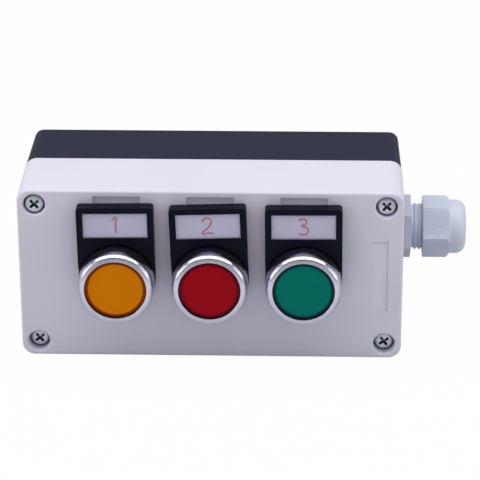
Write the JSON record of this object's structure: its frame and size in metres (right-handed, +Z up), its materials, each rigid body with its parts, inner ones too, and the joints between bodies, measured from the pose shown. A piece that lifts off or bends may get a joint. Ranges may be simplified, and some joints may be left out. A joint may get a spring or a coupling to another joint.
{
  "type": "pushbutton control station",
  "caption": "Moulded box with a row of flush pushbuttons that press in and spring back, each with a legend holder, and a cable gland at one end.",
  "frame": {"origin": "middle of the flat back face", "axes": "+X along the box towards the gland, -Y out of the front panel, +Z up"},
  "size_m": [0.1775, 0.0795, 0.0714],
  "materials": {
    "cover_grey": "fine moulded texture, pale grey",
    "base_dark": "fine moulded texture, dark blue-grey",
    "rubber": "soft black rubber",
    "zinc_steel": "zinc plated",
    "insert_brass": "turned and knurled",
    "gland_grey": "satin nylon, light blue-grey",
    "amber_lens": "translucent amber, satin face",
    "red_lens": "translucent red, satin face",
    "green_lens": "translucent green, satin face",
    "bezel_chrome": "satin chrome",
    "black_plastic": "satin black",
    "block_plastic": "moulded dark grey",
    "white_plastic": "moulded off-white",
    "contact_brass": "stamped strip",
    "spring_steel": "drawn wire",
    "card": "white card",
    "clear_plastic": "clear polished plastic"
  },
  "bodies": {
    "station": {"cover": "cover_grey", "base": "base_dark", "cover_gasket": "rubber", "cover_screws": "zinc_steel", "screw_inserts": "insert_brass", "terminal_screws": "zinc_steel", "gland_washer": "rubber", "gland_body": "gland_grey", "gland_locknut": "gland_grey", "amber_bezel": "bezel_chrome", "amber_bushing": "black_plastic", "amber_return_spring": "spring_steel", "amber_legend_holder": "black_plastic", "amber_legend_card": "card", "amber_legend_window": "clear_plastic", "amber_panel_seal": "rubber", "amber_ring_nut": "black_plastic", "amber_contact_carrier": "block_plastic", "amber_contact_block": "block_plastic", "amber_contact_springs": "spring_steel", "amber_fixed_contacts": "contact_brass", "red_bezel": "bezel_chrome", "red_bushing": "black_plastic", "red_return_spring": "spring_steel", "red_legend_holder": "black_plastic", "red_legend_card": "card", "red_legend_window": "clear_plastic", "red_panel_seal": "rubber", "red_ring_nut": "black_plastic", "red_contact_carrier": "block_plastic", "red_contact_block": "block_plastic", "red_contact_springs": "spring_steel", "red_fixed_contacts": "contact_brass", "green_bezel": "bezel_chrome", "green_bushing": "black_plastic", "green_return_spring": "spring_steel", "green_legend_holder": "black_plastic", "green_legend_card": "card", "green_legend_window": "clear_plastic", "green_panel_seal": "rubber", "green_ring_nut": "black_plastic", "green_contact_carrier": "block_plastic", "green_contact_block": "block_plastic", "green_contact_springs": "spring_steel", "green_fixed_contacts": "contact_brass"},
    "amber_button": {"amber_lens": "amber_lens", "amber_plunger": "black_plastic"},
    "amber_slide": {"amber_contact_slide": "white_plastic"},
    "amber_bridge": {"amber_contact_bridge": "contact_brass"},
    "red_button": {"red_lens": "red_lens", "red_plunger": "black_plastic"},
    "red_slide": {"red_contact_slide": "white_plastic"},
    "red_bridge": {"red_contact_bridge": "contact_brass"},
    "green_button": {"green_lens": "green_lens", "green_plunger": "black_plastic"},
    "green_slide": {"green_contact_slide": "white_plastic"},
    "green_bridge": {"green_contact_bridge": "contact_brass"},
    "gland_seal": {"gland_seal": "rubber"},
    "gland_nut": {"gland_nut": "gland_grey"}
  },
  "joints": [
    {"name": "amber_press", "type": "slide", "parent": "station", "child": "amber_button", "axis": [0, 1, 0], "range_m": [0, 0.0045], "stiffness_N_per_m": 800, "springref_m": -0.005, "deforming": ["amber_return_spring", "amber_contact_springs"]},
    {"name": "amber_slide_push", "type": "slide", "parent": "station", "child": "amber_slide", "axis": [0, 1, 0], "range_m": [0, 0.0045]},
    {"name": "amber_bridge_move", "type": "slide", "parent": "station", "child": "amber_bridge", "axis": [0, 1, 0], "range_m": [0, 0.0028]},
    {"name": "red_press", "type": "slide", "parent": "station", "child": "red_button", "axis": [0, 1, 0], "range_m": [0, 0.0045], "stiffness_N_per_m": 800, "springref_m": -0.005, "deforming": ["red_return_spring", "red_contact_springs"]},
    {"name": "red_slide_push", "type": "slide", "parent": "station", "child": "red_slide", "axis": [0, 1, 0], "range_m": [0, 0.0045]},
    {"name": "red_bridge_move", "type": "slide", "parent": "station", "child": "red_bridge", "axis": [0, 1, 0], "range_m": [0, 0.00331]},
    {"name": "green_press", "type": "slide", "parent": "station", "child": "green_button", "axis": [0, 1, 0], "range_m": [0, 0.0045], "stiffness_N_per_m": 800, "springref_m": -0.005, "deforming": ["green_return_spring", "green_contact_springs"]},
    {"name": "green_slide_push", "type": "slide", "parent": "station", "child": "green_slide", "axis": [0, 1, 0], "range_m": [0, 0.0045]},
    {"name": "green_bridge_move", "type": "slide", "parent": "station", "child": "green_bridge", "axis": [0, 1, 0], "range_m": [0, 0.0028]},
    {"name": "gland_close", "type": "slide", "parent": "station", "child": "gland_seal", "axis": [-1, 0, 0], "range_m": [0, 0.0042]},
    {"name": "gland_nut_turn", "type": "hinge", "parent": "gland_seal", "child": "gland_nut", "pos_m": [0.0751, -0.0156, 0], "axis": [-1, 0, 0], "range_deg": [0, 841]}
  ],
  "couplings": [
    {"joint": "amber_slide_push", "follows": "amber_press", "ratio": 1},
    {"joint": "amber_bridge_move", "follows": "amber_press", "ratio": 0.62},
    {"joint": "red_slide_push", "follows": "red_press", "ratio": 1},
    {"joint": "red_bridge_move", "follows": "red_press", "ratio": 0.73333},
    {"joint": "green_slide_push", "follows": "green_press", "ratio": 1},
    {"joint": "green_bridge_move", "follows": "green_press", "ratio": 0.62},
    {"joint": "gland_nut_turn", "follows": "gland_close", "rad_per_m": 3490.7}
  ]
}
